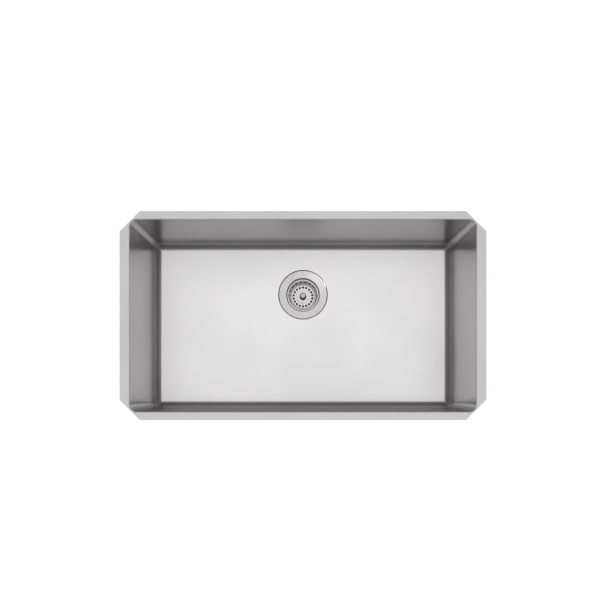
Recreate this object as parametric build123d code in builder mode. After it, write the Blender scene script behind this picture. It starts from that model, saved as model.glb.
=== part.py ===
from build123d import *
from math import atan2, cos, radians, sin, sqrt
import os

# An undermount kitchen sink: one pressed steel bowl with a basket strainer in its floor,
# in millimetres, +Z up.
#
# The origin is the middle of the bowl's opening, on the top face of the rim flange, which
# is the face that is clamped up under a worktop. +X runs along the long side, -Y is the
# side that the user stands at, and the drain sits nearer to the +Y wall.
#
# Heights of the drain's pieces are counted from the top face of the bowl's floor, so they
# are negative below it.

# ----- bowl -------------------------------------------------------------------------------
OPENING_LENGTH = 700.0  # clear opening, left to right
OPENING_WIDTH = 388.0  # clear opening, front to back
BOWL_DEPTH = 200.0  # top of the flange to the floor
BOWL_SHEET = 1.2  # pressed stainless sheet
WALL_CORNER_RADIUS = 15.0  # upright corners, inside
FLOOR_CORNER_RADIUS = 20.0  # wall to floor, inside
FLANGE_SIDE = 20.0  # flange width at the left and right
FLANGE_FRONT = 17.0  # flange width at the front and back
FLANGE_CORNER_LAND = 3.4  # flange left between a cut corner and the opening
RIM_BEND_RADIUS = 2.5  # flange top rolling over into the wall
DRAIN_TO_BACK_WALL = 120.0  # middle of the drain to the inside of the back wall

# ----- recess pressed into the floor for the strainer -------------------------------------
RECESS_DEPTH = 2.4
RECESS_SLOPE_RUN = 0.6  # how far its side leans outwards
RECESS_MOUTH_BEND = 1.4  # outside bend at the top of its side
RECESS_BORDER = 3.0  # flat floor that is pressed with it

# ----- strainer body ----------------------------------------------------------------------
CUP_RADIUS = 38.7  # inside the cup's upright wall
CUP_SHEET = 1.2
CUP_WALL_DEPTH = 27.0  # floor of the bowl to the end of the upright wall
SEAT_BELOW_WALL = 11.9  # end of the upright wall down to the stopper's seat
SEAT_RADIUS = 27.0  # outer edge of the flat seat
OUTLET_RADIUS = 20.5  # hole in the seat, and bore of the spud
LIP_RADIUS = 2.0  # flange rolling down into the cup
FLANGE_RISE = 0.4  # crown of the strainer's flange above the bowl's floor
FLANGE_EDGE_RADIUS = 1.6  # rolled outer edge of that flange
CUP_SHOULDER_BEND = 4.0  # upright wall into the cone
FLANGE_OVERLAP = 12.7  # strainer flange beyond the drain hole
HOLE_CLEARANCE = 4.55  # cup wall to the drain hole
RECESS_CLEARANCE = 0.3  # strainer flange to the foot of the recess

# ----- what clamps the strainer to the bowl -----------------------------------------------
SEAL_WIDTH = 9.0
SEAL_INSET = 2.15  # seal's outer edge, in from the strainer's flange edge
SEAL_CLEARANCE = 0.05
GASKET_WIDTH = 11.4
GASKET_THICKNESS = 3.5
FRICTION_RING_THICKNESS = 1.0
FRICTION_RING_INSET = 1.0  # friction ring's outer edge, in from the gasket's
RING_CLEARANCE = 0.9  # gasket's bore around the cup
THREAD_CLEARANCE = 0.3  # nut bores around what they screw on
LOCKNUT_HEIGHT = 12.0
LOCKNUT_WALL = 6.0
LOCKNUT_FLANGE_THICKNESS = 3.0
LOCKNUT_FLANGE_WIDTH = 5.0
LOCKNUT_LUGS = 6
LOCKNUT_LUG_WIDTH = 8.0
LOCKNUT_EDGE_CHAMFER = 1.0

# ----- outlet spud, coupling nut and tailpiece --------------------------------------------
SPUD_WALL = 3.4
SPUD_FLANGE_THICKNESS = 1.5
SPUD_FLANGE_INSET = 1.5  # spud flange's edge, in from the seat's edge
HUB_BELOW_NUT = 2.4  # gap from the stem nut down to the spider
HUB_HEIGHT = 3.0
HUB_WALL = 2.8
HUB_CLEARANCE = 0.3  # spring clip inside the hub
SPIDER_ARMS = 4
SPIDER_ARM_WIDTH = 2.5
SPUD_BELOW_HUB = 10.0  # hub down to the end of the spud
TAILPIECE_RADIUS = 19.05  # 1 1/2 in tube
TAILPIECE_WALL = 1.0
TAILPIECE_LENGTH = 100.0
TAILPIECE_FLANGE_THICKNESS = 1.2
TAILPIECE_FLANGE_INSET = 0.9  # its flange's edge, in from the spud's thread
COUPLING_WASHER_THICKNESS = 2.0
COUPLING_HEIGHT = 18.0
COUPLING_WALL = 4.0  # at the flats
COUPLING_LIP_THICKNESS = 2.0
COUPLING_LIP_CLEARANCE = 0.95
COUPLING_CORNER_FALL = 1.5  # how far the turned-off corners of the hexagon slope

# ----- stopper and its stem ---------------------------------------------------------------
SEAT_CLEARANCE = 0.3  # closed stopper above its seat
RUNNING_CLEARANCE = 0.3  # between the basket and the stopper group
STOPPER_OVERLAP = 4.0  # stopper beyond the outlet hole
STOPPER_THICKNESS = 4.0
STOPPER_EDGE_CHAMFER = 1.2
BACKING_WASHER_THICKNESS = 1.2
BACKING_WASHER_INSET = 1.5  # its edge, in from the edge of the basket's boss
CLAMP_WASHER_RADIUS = 10.0
CLAMP_WASHER_THICKNESS = 1.0
STEM_RADIUS = 4.0  # where it passes the basket and the washers
STEM_THREAD_RADIUS = 3.0  # below the clamp washer
WASHER_BORE_CLEARANCE = 0.1
STEM_TIP_CHAMFER = 0.6
STEM_NUT_FLATS = 10.0
STEM_NUT_HEIGHT = 5.0
STEM_BELOW_HUB = 6.0  # tip of the stem below the spider
CLIP_HALF_WIDTH = 4.9  # spring clip, from the stem's middle
CLIP_HEIGHT = 7.0
CLIP_LEAF = 0.5
CLIP_WIDTH = 2.0
CLIP_SLOT_CLEARANCE = 0.1
CLIP_ABOVE_TIP = 1.0
KNOB_HEIGHT = 22.0
KNOB_BASE_RADIUS = 8.0
KNOB_BASE_THICKNESS = 1.6
KNOB_NECK_RADIUS = 5.4
KNOB_HEAD_RADIUS = 7.0
KNOB_HEAD_HEIGHT = 7.0
KNOB_HEAD_FLARE = 1.6  # height over which the head widens out of the neck
KNOB_FOOT_RISE = 1.4  # height over which the base narrows into the neck
KNOB_CROWN_RADIUS = 3.6  # rounding of the head's top edge

# ----- basket -----------------------------------------------------------------------------
BASKET_SHEET = 0.8
BASKET_RIM_CLEARANCE = 1.4  # rim bead to the cup's wall
BASKET_RIM_DEPTH = 8.0  # middle of the rim bead below the bowl's floor
BASKET_BEAD_RADIUS = 1.1
BASKET_FLOOR_RADIUS = 28.8
BASKET_FLOOR_BEND = 2.5
BOSS_RADIUS = 15.5
PERFORATIONS = 18
ROUND_HOLE_RADIUS = 2.3
ROUND_HOLE_RING = 22.9  # radius of the circle that the holes stand on
SLOT_LENGTH = 7.0
SLOT_WIDTH = 4.0

# ----- sound pads glued to the outside of the bowl ----------------------------------------
PAD_THICKNESS = 3.0
PAD_CORNER_RADIUS = 10.0
LONG_PAD_END_MARGIN = 125.0  # pads on the front and back walls
SIDE_PAD_END_MARGIN = 84.0  # pads on the left and right walls
WALL_PAD_MARGIN = 45.0  # above and below the pads on the walls
FLOOR_PAD_DRAIN_MARGIN = 38.0  # recess to the near edge of a pad under the floor
FLOOR_PAD_END_MARGIN = 50.0  # left or right wall to its far edge
FLOOR_PAD_FRONT_MARGIN = 64.0  # front and back walls to it

# ----- sizes that follow from these -------------------------------------------------------
drain_y = OPENING_WIDTH / 2 - DRAIN_TO_BACK_WALL
wall_x = OPENING_LENGTH / 2 + BOWL_SHEET
wall_y = OPENING_WIDTH / 2 + BOWL_SHEET
flange_length = OPENING_LENGTH + 2 * FLANGE_SIDE
flange_width = OPENING_WIDTH + 2 * FLANGE_FRONT
# the diagonal distance from a rounded corner of the opening to the flange's square corner,
# less the land, is what the 45 degree cut takes away
corner_cut = (
    FLANGE_SIDE
    + FLANGE_FRONT
    + (2 - sqrt(2)) * WALL_CORNER_RADIUS
    - sqrt(2) * FLANGE_CORNER_LAND
)

cup_outer_radius = CUP_RADIUS + CUP_SHEET
drain_hole_radius = cup_outer_radius + HOLE_CLEARANCE
strainer_flange_radius = drain_hole_radius + FLANGE_OVERLAP
recess_radius = strainer_flange_radius + RECESS_CLEARANCE
recess_mouth_radius = recess_radius + RECESS_SLOPE_RUN
recess_border_radius = recess_mouth_radius + RECESS_BORDER
recess_underside = -(RECESS_DEPTH + BOWL_SHEET)

seat_height = -(CUP_WALL_DEPTH + SEAT_BELOW_WALL)
cup_underside = seat_height - CUP_SHEET

gasket_radius = cup_outer_radius + RING_CLEARANCE + GASKET_WIDTH
gasket_underside = recess_underside - GASKET_THICKNESS
locknut_top = gasket_underside - FRICTION_RING_THICKNESS
locknut_bore = cup_outer_radius + THREAD_CLEARANCE
locknut_radius = locknut_bore + LOCKNUT_WALL
locknut_flange_radius = locknut_radius + LOCKNUT_FLANGE_WIDTH

stopper_underside = seat_height + SEAT_CLEARANCE
stopper_top = stopper_underside + STOPPER_THICKNESS
stopper_radius = OUTLET_RADIUS + STOPPER_OVERLAP
clamp_washer_underside = stopper_underside - CLAMP_WASHER_THICKNESS
stem_nut_underside = clamp_washer_underside - STEM_NUT_HEIGHT
washer_bore = STEM_RADIUS + WASHER_BORE_CLEARANCE

basket_floor_underside = stopper_top + RUNNING_CLEARANCE
basket_floor_top = basket_floor_underside + BASKET_SHEET
# the boss stands up by the backing washer that turns under it
boss_top = basket_floor_top + BACKING_WASHER_THICKNESS
knob_base_underside = boss_top + RUNNING_CLEARANCE
knob_base_top = knob_base_underside + KNOB_BASE_THICKNESS
knob_top = knob_base_underside + KNOB_HEIGHT
bead_circle_radius = CUP_RADIUS - BASKET_RIM_CLEARANCE - BASKET_BEAD_RADIUS

hub_top = stem_nut_underside - HUB_BELOW_NUT
hub_underside = hub_top - HUB_HEIGHT
hub_bore = CLIP_HALF_WIDTH + HUB_CLEARANCE
stem_tip = hub_underside - STEM_BELOW_HUB
clip_middle = stem_tip + CLIP_ABOVE_TIP + CLIP_HEIGHT / 2
spud_end = hub_underside - SPUD_BELOW_HUB
spud_radius = OUTLET_RADIUS + SPUD_WALL
spud_flange_radius = SEAT_RADIUS - SPUD_FLANGE_INSET
tailpiece_top = spud_end - COUPLING_WASHER_THICKNESS
tailpiece_flange_radius = spud_radius - TAILPIECE_FLANGE_INSET
coupling_lip_top = tailpiece_top - TAILPIECE_FLANGE_THICKNESS
coupling_underside = coupling_lip_top - COUPLING_LIP_THICKNESS
coupling_top = coupling_underside + COUPLING_HEIGHT
coupling_bore = spud_radius + THREAD_CLEARANCE
coupling_corner_radius = (coupling_bore + COUPLING_WALL) / cos(radians(30))
tailpiece_end = tailpiece_top - TAILPIECE_LENGTH

# ----- places -----------------------------------------------------------------------------
drain = Plane(origin=(0, drain_y, -BOWL_DEPTH))
# in a section, the first coordinate is the distance from the drain's middle line and the
# second is the height above the bowl's floor
drain_section = Plane(origin=drain.origin, x_dir=(1, 0, 0), z_dir=(0, -1, 0))
drain_axis = Axis(drain.origin, (0, 0, 1))

outwards = (Align.MIN, Align.CENTER)

os.makedirs("parts", exist_ok=True)


def flat_ring(radius, bore, underside, thickness):
    """A flat ring around the drain's middle line, such as a gasket or a washer."""
    with BuildPart() as piece:
        with BuildSketch(drain.offset(underside)):
            Circle(radius)
            Circle(bore, mode=Mode.SUBTRACT)
        extrude(amount=thickness)
    return piece


# ----- the bowl ---------------------------------------------------------------------------
# a block of the bowl's outer shape is shelled from above, and the flange is set on its rim
with BuildPart() as bowl:
    with BuildSketch():
        RectangleRounded(2 * wall_x, 2 * wall_y, WALL_CORNER_RADIUS + BOWL_SHEET)
    extrude(amount=-(BOWL_DEPTH + BOWL_SHEET))
    underside_edges = bowl.faces().sort_by(Axis.Z)[0].edges()
    fillet(underside_edges, FLOOR_CORNER_RADIUS + BOWL_SHEET)
    offset(amount=-BOWL_SHEET, openings=bowl.faces().sort_by(Axis.Z)[-1])

    with BuildSketch() as flange_outline:
        Rectangle(flange_length, flange_width)
        chamfer(flange_outline.vertices(), corner_cut)
        RectangleRounded(
            OPENING_LENGTH, OPENING_WIDTH, WALL_CORNER_RADIUS, mode=Mode.SUBTRACT
        )
    extrude(amount=-BOWL_SHEET)

    # the sheet bends from the flange into the wall, with the same middle on both faces
    level_faces = bowl.faces().filter_by(Axis.Z).sort_by(Axis.Z)
    fillet(level_faces[-2].inner_wires()[0].edges(), RIM_BEND_RADIUS - BOWL_SHEET)
    flange_top = bowl.faces().sort_by(Axis.Z)[-1]
    fillet(flange_top.inner_wires()[0].edges(), RIM_BEND_RADIUS)

    # the floor around the drain hole is pressed down, so the strainer's flange lies flush
    with BuildSketch(drain):
        Circle(recess_border_radius)
    extrude(amount=-BOWL_SHEET, mode=Mode.SUBTRACT)
    with BuildSketch(drain_section):
        with BuildLine():
            FilletPolyline(
                (recess_border_radius, 0),
                (recess_mouth_radius, 0),
                (recess_radius, -RECESS_DEPTH),
                (drain_hole_radius, -RECESS_DEPTH),
                radius=[RECESS_MOUTH_BEND, 0],
            )
            offset(amount=BOWL_SHEET, side=Side.LEFT)
        make_face()
    revolve(axis=drain_axis)
bowl.part.label = "bowl"
export_step(bowl.part, "parts/bowl.step")

# ----- the strainer body ------------------------------------------------------------------
# one line along the face that shows, from the flange's edge in over the lip, down the cup
# and in across the seat, is given the sheet's thickness and turned
with BuildPart() as strainer_body:
    with BuildSketch(drain_section):
        with BuildLine():
            FilletPolyline(
                (strainer_flange_radius, -RECESS_DEPTH),
                (strainer_flange_radius, FLANGE_RISE),
                (CUP_RADIUS, 0),
                (CUP_RADIUS, -CUP_WALL_DEPTH),
                (SEAT_RADIUS, seat_height),
                (OUTLET_RADIUS, seat_height),
                radius=[FLANGE_EDGE_RADIUS, LIP_RADIUS, CUP_SHOULDER_BEND, 0],
            )
            offset(amount=CUP_SHEET, side=Side.LEFT)
        make_face()
    revolve(axis=drain_axis)
strainer_body.part.label = "strainer_body"
export_step(strainer_body.part, "parts/strainer_body.step")

# ----- seal above the sheet, gasket and friction ring below it ----------------------------
seal_radius = strainer_flange_radius - SEAL_INSET
seal_thickness = RECESS_DEPTH - CUP_SHEET - SEAL_CLEARANCE
flange_seal = flat_ring(
    seal_radius, seal_radius - SEAL_WIDTH, -RECESS_DEPTH, seal_thickness
)
flange_seal.part.label = "flange_seal"
export_step(flange_seal.part, "parts/flange_seal.step")

gasket_bore = cup_outer_radius + RING_CLEARANCE
under_gasket = flat_ring(gasket_radius, gasket_bore, gasket_underside, GASKET_THICKNESS)
under_gasket.part.label = "under_gasket"
export_step(under_gasket.part, "parts/under_gasket.step")

friction_ring = flat_ring(
    gasket_radius - FRICTION_RING_INSET, gasket_bore, locknut_top, FRICTION_RING_THICKNESS
)
friction_ring.part.label = "friction_ring"
export_step(friction_ring.part, "parts/friction_ring.step")

# ----- locknut that pulls the strainer down -----------------------------------------------
with BuildPart() as locknut:
    with BuildSketch(drain.offset(locknut_top)):
        Circle(locknut_radius)
        with PolarLocations(0, LOCKNUT_LUGS):
            Rectangle(locknut_flange_radius, LOCKNUT_LUG_WIDTH, align=outwards)
        Circle(locknut_bore, mode=Mode.SUBTRACT)
    extrude(amount=-LOCKNUT_HEIGHT)
    chamfer(locknut.faces().sort_by(Axis.Z)[0].outer_wire().edges(), LOCKNUT_EDGE_CHAMFER)
    with BuildSketch(drain.offset(locknut_top)):
        Circle(locknut_flange_radius)
        Circle(locknut_bore, mode=Mode.SUBTRACT)
    extrude(amount=-LOCKNUT_FLANGE_THICKNESS)
locknut.part.label = "locknut"
export_step(locknut.part, "parts/locknut.step")

# ----- outlet spud with the spider that holds the stem ------------------------------------
with BuildPart() as outlet_spud:
    with BuildSketch(drain_section):
        with BuildLine():
            Polyline(
                (OUTLET_RADIUS, cup_underside),
                (spud_flange_radius, cup_underside),
                (spud_flange_radius, cup_underside - SPUD_FLANGE_THICKNESS),
                (spud_radius, cup_underside - SPUD_FLANGE_THICKNESS),
                (spud_radius, spud_end),
                (OUTLET_RADIUS, spud_end),
                close=True,
            )
        make_face()
    revolve(axis=drain_axis)
    with BuildSketch(drain.offset(hub_top)):
        with PolarLocations(0, SPIDER_ARMS):
            Rectangle(OUTLET_RADIUS + SPUD_WALL / 2, SPIDER_ARM_WIDTH, align=outwards)
        Circle(hub_bore + HUB_WALL)
        Circle(hub_bore, mode=Mode.SUBTRACT)
    extrude(amount=-HUB_HEIGHT)
outlet_spud.part.label = "outlet_spud"
export_step(outlet_spud.part, "parts/outlet_spud.step")

# ----- tailpiece, its washer and the coupling nut that draws it up to the spud ------------
tailpiece_washer = flat_ring(
    tailpiece_flange_radius,
    TAILPIECE_RADIUS - TAILPIECE_WALL,
    tailpiece_top,
    COUPLING_WASHER_THICKNESS,
)
tailpiece_washer.part.label = "tailpiece_washer"
export_step(tailpiece_washer.part, "parts/tailpiece_washer.step")

with BuildPart() as tailpiece:
    with BuildSketch(drain_section):
        with BuildLine():
            Polyline(
                (tailpiece_flange_radius, tailpiece_top),
                (tailpiece_flange_radius, coupling_lip_top),
                (TAILPIECE_RADIUS, coupling_lip_top),
                (TAILPIECE_RADIUS, tailpiece_end),
                (TAILPIECE_RADIUS - TAILPIECE_WALL, tailpiece_end),
                (TAILPIECE_RADIUS - TAILPIECE_WALL, tailpiece_top),
                close=True,
            )
        make_face()
    revolve(axis=drain_axis)
tailpiece.part.label = "tailpiece"
export_step(tailpiece.part, "parts/tailpiece.step")

with BuildPart() as coupling_nut:
    with BuildSketch(drain.offset(coupling_underside)):
        RegularPolygon(coupling_bore + COUPLING_WALL, 6, major_radius=False)
    extrude(amount=COUPLING_HEIGHT)
    # the corners of the hexagon are turned off at both ends
    with BuildSketch(drain_section):
        with BuildLine():
            Polyline(
                (0, coupling_underside),
                (coupling_bore + COUPLING_WALL, coupling_underside),
                (coupling_corner_radius, coupling_underside + COUPLING_CORNER_FALL),
                (coupling_corner_radius, coupling_top - COUPLING_CORNER_FALL),
                (coupling_bore + COUPLING_WALL, coupling_top),
                (0, coupling_top),
                close=True,
            )
        make_face()
    revolve(axis=drain_axis, mode=Mode.INTERSECT)
    with BuildSketch(drain.offset(coupling_top)):
        Circle(coupling_bore)
    extrude(amount=COUPLING_LIP_THICKNESS - COUPLING_HEIGHT, mode=Mode.SUBTRACT)
    with BuildSketch(drain.offset(coupling_top)):
        Circle(TAILPIECE_RADIUS + COUPLING_LIP_CLEARANCE)
    extrude(amount=-COUPLING_HEIGHT, mode=Mode.SUBTRACT)
coupling_nut.part.label = "coupling_nut"
export_step(coupling_nut.part, "parts/coupling_nut.step")

# ----- knob and its stem ------------------------------------------------------------------
with BuildPart() as knob_post:
    with BuildSketch(drain_section):
        with BuildLine():
            Polyline(
                (0, knob_top),
                (0, stem_tip),
                (STEM_THREAD_RADIUS - STEM_TIP_CHAMFER, stem_tip),
                (STEM_THREAD_RADIUS, stem_tip + STEM_TIP_CHAMFER),
                (STEM_THREAD_RADIUS, clamp_washer_underside),
                (STEM_RADIUS, clamp_washer_underside),
                (STEM_RADIUS, knob_base_underside),
                (KNOB_BASE_RADIUS, knob_base_underside),
                (KNOB_BASE_RADIUS, knob_base_top),
                (KNOB_NECK_RADIUS, knob_base_top + KNOB_FOOT_RISE),
                (KNOB_NECK_RADIUS, knob_top - KNOB_HEAD_HEIGHT),
                (KNOB_HEAD_RADIUS, knob_top - KNOB_HEAD_HEIGHT + KNOB_HEAD_FLARE),
                (KNOB_HEAD_RADIUS, knob_top - KNOB_CROWN_RADIUS),
            )
            RadiusArc(
                (KNOB_HEAD_RADIUS, knob_top - KNOB_CROWN_RADIUS),
                (KNOB_HEAD_RADIUS - KNOB_CROWN_RADIUS, knob_top),
                -KNOB_CROWN_RADIUS,
            )
            Line((KNOB_HEAD_RADIUS - KNOB_CROWN_RADIUS, knob_top), (0, knob_top))
        make_face()
    revolve(axis=drain_axis)
    # a slot across the stem holds the spring clip
    with BuildSketch(drain_section):
        with Locations((0, clip_middle)):
            Rectangle(2 * STEM_RADIUS, CLIP_HEIGHT + 2 * CLIP_SLOT_CLEARANCE)
    slot_half_width = CLIP_WIDTH / 2 + CLIP_SLOT_CLEARANCE
    extrude(amount=slot_half_width, both=True, mode=Mode.SUBTRACT)
knob_post.part.label = "knob_post"
export_step(knob_post.part, "parts/knob_post.step")

# ----- stopper, its washers, nut and spring clip ------------------------------------------
backing_washer = flat_ring(
    BOSS_RADIUS - BACKING_WASHER_INSET, washer_bore, stopper_top, BACKING_WASHER_THICKNESS
)
backing_washer.part.label = "backing_washer"
export_step(backing_washer.part, "parts/backing_washer.step")

stopper_washer = flat_ring(
    stopper_radius, washer_bore, stopper_underside, STOPPER_THICKNESS
)
with stopper_washer:
    seating_edge = stopper_washer.faces().sort_by(Axis.Z)[0].outer_wire().edges()
    chamfer(seating_edge, STOPPER_EDGE_CHAMFER)
stopper_washer.part.label = "stopper_washer"
export_step(stopper_washer.part, "parts/stopper_washer.step")

clamp_washer = flat_ring(
    CLAMP_WASHER_RADIUS, washer_bore, clamp_washer_underside, CLAMP_WASHER_THICKNESS
)
clamp_washer.part.label = "clamp_washer"
export_step(clamp_washer.part, "parts/clamp_washer.step")

with BuildPart() as stem_nut:
    with BuildSketch(drain.offset(stem_nut_underside)):
        RegularPolygon(STEM_NUT_FLATS / 2, 6, major_radius=False)
        Circle(STEM_THREAD_RADIUS + WASHER_BORE_CLEARANCE, mode=Mode.SUBTRACT)
    extrude(amount=STEM_NUT_HEIGHT)
stem_nut.part.label = "stem_nut"
export_step(stem_nut.part, "parts/stem_nut.step")

# a flat spring bent to a loop, which bows out of the stem on both sides
with BuildPart() as stem_clip:
    with BuildSketch(drain_section):
        with Locations((0, clip_middle)):
            Ellipse(CLIP_HALF_WIDTH, CLIP_HEIGHT / 2)
            Ellipse(
                CLIP_HALF_WIDTH - CLIP_LEAF, CLIP_HEIGHT / 2 - CLIP_LEAF, mode=Mode.SUBTRACT
            )
    extrude(amount=CLIP_WIDTH / 2, both=True)
stem_clip.part.label = "stem_clip"
export_step(stem_clip.part, "parts/stem_clip.step")

# ----- the perforated basket --------------------------------------------------------------
slot_ring_radius = (BASKET_FLOOR_RADIUS + bead_circle_radius) / 2
slot_height = (basket_floor_top - BASKET_RIM_DEPTH) / 2
cone_rise = -BASKET_RIM_DEPTH - basket_floor_top
cone_run = bead_circle_radius - BASKET_FLOOR_RADIUS
cone_slope = atan2(cone_rise, cone_run)

# one slot is cut square to the cone's wall, and repeated around the drain's middle line
with BuildPart() as slot_cutter:
    slot_plane = Plane(
        origin=(slot_ring_radius, 0, slot_height),
        x_dir=(0, 1, 0),
        z_dir=(sin(cone_slope), 0, -cos(cone_slope)),
    )
    with BuildSketch(slot_plane):
        SlotOverall(SLOT_LENGTH, SLOT_WIDTH)
    extrude(amount=SLOT_WIDTH, both=True)

with BuildPart() as basket:
    with BuildSketch(drain_section):
        with BuildLine():
            FilletPolyline(
                (washer_bore + RUNNING_CLEARANCE, boss_top),
                (BOSS_RADIUS, boss_top),
                (BOSS_RADIUS + BACKING_WASHER_THICKNESS, basket_floor_top),
                (BASKET_FLOOR_RADIUS, basket_floor_top),
                (bead_circle_radius, -BASKET_RIM_DEPTH),
                radius=[0, 0, BASKET_FLOOR_BEND],
            )
            offset(amount=BASKET_SHEET, side=Side.RIGHT)
        make_face()
    revolve(axis=drain_axis)
    # the rim is rolled into a bead
    with BuildSketch(drain_section):
        with Locations((bead_circle_radius, -BASKET_RIM_DEPTH)):
            Circle(BASKET_BEAD_RADIUS)
    revolve(axis=drain_axis)
    with BuildSketch(drain.offset(basket_floor_underside)):
        with PolarLocations(ROUND_HOLE_RING, PERFORATIONS, start_angle=90):
            Circle(ROUND_HOLE_RADIUS)
    extrude(amount=BASKET_SHEET, mode=Mode.SUBTRACT)
    with Locations(drain):
        with PolarLocations(0, PERFORATIONS, start_angle=90 + 180 / PERFORATIONS):
            add(slot_cutter.part, mode=Mode.SUBTRACT)
basket.part.label = "basket"
export_step(basket.part, "parts/basket.step")

# ----- sound pads -------------------------------------------------------------------------
# each is glued face to face on the outside of the sheet
wall_pad_height = BOWL_DEPTH - 2 * WALL_PAD_MARGIN
long_pad_length = OPENING_LENGTH - 2 * LONG_PAD_END_MARGIN
side_pad_length = OPENING_WIDTH - 2 * SIDE_PAD_END_MARGIN
floor_pad_near = recess_border_radius + FLOOR_PAD_DRAIN_MARGIN
floor_pad_far = OPENING_LENGTH / 2 - FLOOR_PAD_END_MARGIN
floor_pad_length = floor_pad_far - floor_pad_near
floor_pad_width = OPENING_WIDTH - 2 * FLOOR_PAD_FRONT_MARGIN
floor_pad_x = (floor_pad_near + floor_pad_far) / 2
wall_middle = -BOWL_DEPTH / 2
floor_underside = -(BOWL_DEPTH + BOWL_SHEET)

# the plane each pad is glued to, facing away from the bowl, and the pad's length and height
pads = {
    "sound_pad_front": (
        Plane(origin=(0, -wall_y, wall_middle), x_dir=(1, 0, 0), z_dir=(0, -1, 0)),
        long_pad_length,
        wall_pad_height,
    ),
    "sound_pad_back": (
        Plane(origin=(0, wall_y, wall_middle), x_dir=(-1, 0, 0), z_dir=(0, 1, 0)),
        long_pad_length,
        wall_pad_height,
    ),
    "sound_pad_left": (
        Plane(origin=(-wall_x, 0, wall_middle), x_dir=(0, -1, 0), z_dir=(-1, 0, 0)),
        side_pad_length,
        wall_pad_height,
    ),
    "sound_pad_right": (
        Plane(origin=(wall_x, 0, wall_middle), x_dir=(0, 1, 0), z_dir=(1, 0, 0)),
        side_pad_length,
        wall_pad_height,
    ),
    "sound_pad_bottom_left": (
        Plane(origin=(-floor_pad_x, 0, floor_underside), x_dir=(1, 0, 0), z_dir=(0, 0, -1)),
        floor_pad_length,
        floor_pad_width,
    ),
    "sound_pad_bottom_right": (
        Plane(origin=(floor_pad_x, 0, floor_underside), x_dir=(1, 0, 0), z_dir=(0, 0, -1)),
        floor_pad_length,
        floor_pad_width,
    ),
}
for name, (glued_face, length, height) in pads.items():
    with BuildPart() as sound_pad:
        with BuildSketch(glued_face):
            RectangleRounded(length, height, PAD_CORNER_RADIUS)
        extrude(amount=PAD_THICKNESS)
    sound_pad.part.label = name
    export_step(sound_pad.part, f"parts/{name}.step")
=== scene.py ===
# %% [markdown]
# # An undermount kitchen sink
#
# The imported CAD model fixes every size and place. This file gives each of its pieces the surface
# that the real one has: a pressed steel bowl brushed to a satin, a spun strainer with a punched
# basket, a polished knob, and below them the rubber, brass and plated pieces that hold the drain
# together.

# %% The fixed frame
from itertools import chain
from math import ceil, cos, pi, radians, sin, sqrt

import bmesh
import bpy
import numpy as np
from mathutils import Matrix, Vector


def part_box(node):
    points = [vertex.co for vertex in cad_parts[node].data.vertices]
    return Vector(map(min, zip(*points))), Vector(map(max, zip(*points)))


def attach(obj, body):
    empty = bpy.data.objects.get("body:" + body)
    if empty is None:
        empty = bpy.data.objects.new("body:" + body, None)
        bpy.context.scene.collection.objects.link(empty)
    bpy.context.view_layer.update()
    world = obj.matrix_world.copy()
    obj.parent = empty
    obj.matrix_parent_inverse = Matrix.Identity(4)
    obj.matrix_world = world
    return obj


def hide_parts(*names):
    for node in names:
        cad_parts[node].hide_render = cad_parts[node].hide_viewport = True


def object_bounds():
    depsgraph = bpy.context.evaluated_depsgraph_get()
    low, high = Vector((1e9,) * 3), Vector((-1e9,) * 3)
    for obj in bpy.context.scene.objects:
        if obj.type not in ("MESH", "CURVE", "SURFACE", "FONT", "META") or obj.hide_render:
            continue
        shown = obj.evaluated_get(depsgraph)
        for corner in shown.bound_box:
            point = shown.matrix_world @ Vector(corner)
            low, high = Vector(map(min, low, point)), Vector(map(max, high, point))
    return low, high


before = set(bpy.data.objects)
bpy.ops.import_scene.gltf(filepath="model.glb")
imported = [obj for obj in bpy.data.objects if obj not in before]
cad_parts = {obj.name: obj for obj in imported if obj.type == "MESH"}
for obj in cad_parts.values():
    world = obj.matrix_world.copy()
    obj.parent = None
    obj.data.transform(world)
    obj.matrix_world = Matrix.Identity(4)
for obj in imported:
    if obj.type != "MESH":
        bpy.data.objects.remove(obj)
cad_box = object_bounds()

mm = 0.001
scene = bpy.context.scene
print("CAD nodes", len(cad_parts), "box in mm", [[round(v / mm, 1) for v in c] for c in cad_box])

# %% [markdown]
# The photograph is taken from straight above, with the picture plane level with the rim, and the
# sink stands in the upper half of a taller picture. So the camera looks straight down and its
# frame is shifted, as a view camera's back would be, instead of being tilted.

# %% Camera
PICTURE_SIDE = 600.0  # pixels
FOCAL_LENGTH = 565.4  # in pixels of that picture
POINT_BELOW_CAMERA = (303.0, 385.0)  # pixel that the camera stands over
CAMERA_PLACE = (0.0, -140 * mm, 1140 * mm)
SENSOR_SIDE = 36.0


def placed(name, data):
    """A new object in the scene, at the origin."""
    thing = bpy.data.objects.new(name, data)
    scene.collection.objects.link(thing)
    return thing


camera_data = bpy.data.cameras.new("view_from_above")
camera_data.sensor_width = SENSOR_SIDE
camera_data.lens = SENSOR_SIDE * FOCAL_LENGTH / PICTURE_SIDE
camera_data.shift_x = 0.5 - POINT_BELOW_CAMERA[0] / PICTURE_SIDE
camera_data.shift_y = POINT_BELOW_CAMERA[1] / PICTURE_SIDE - 0.5
camera_data.clip_start = 10 * mm
camera = placed("view_from_above", camera_data)
camera.location = CAMERA_PLACE
scene.camera = camera
scene.view_settings.view_transform = "Standard"
print(f"lens {camera_data.lens:.2f}, shift {camera_data.shift_x:.4f} and {camera_data.shift_y:.4f}")

# %% [markdown]
# A material is a small tree of nodes. Two helpers keep the trees readable. `Wire` stands for one
# output of a node and can be used in ordinary Python sums, so `1 - mask` adds a Math node.
# `Board.node` adds any other node, with the value or the wire of each socket, and its settings.

# %% Node trees as expressions
class Wire:
    """One output socket, which can stand in a Python sum."""

    def __init__(self, board, socket):
        self.board, self.socket = board, socket

    def maths(self, operation, *others):
        return self.board.maths(operation, self, *others)


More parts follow.
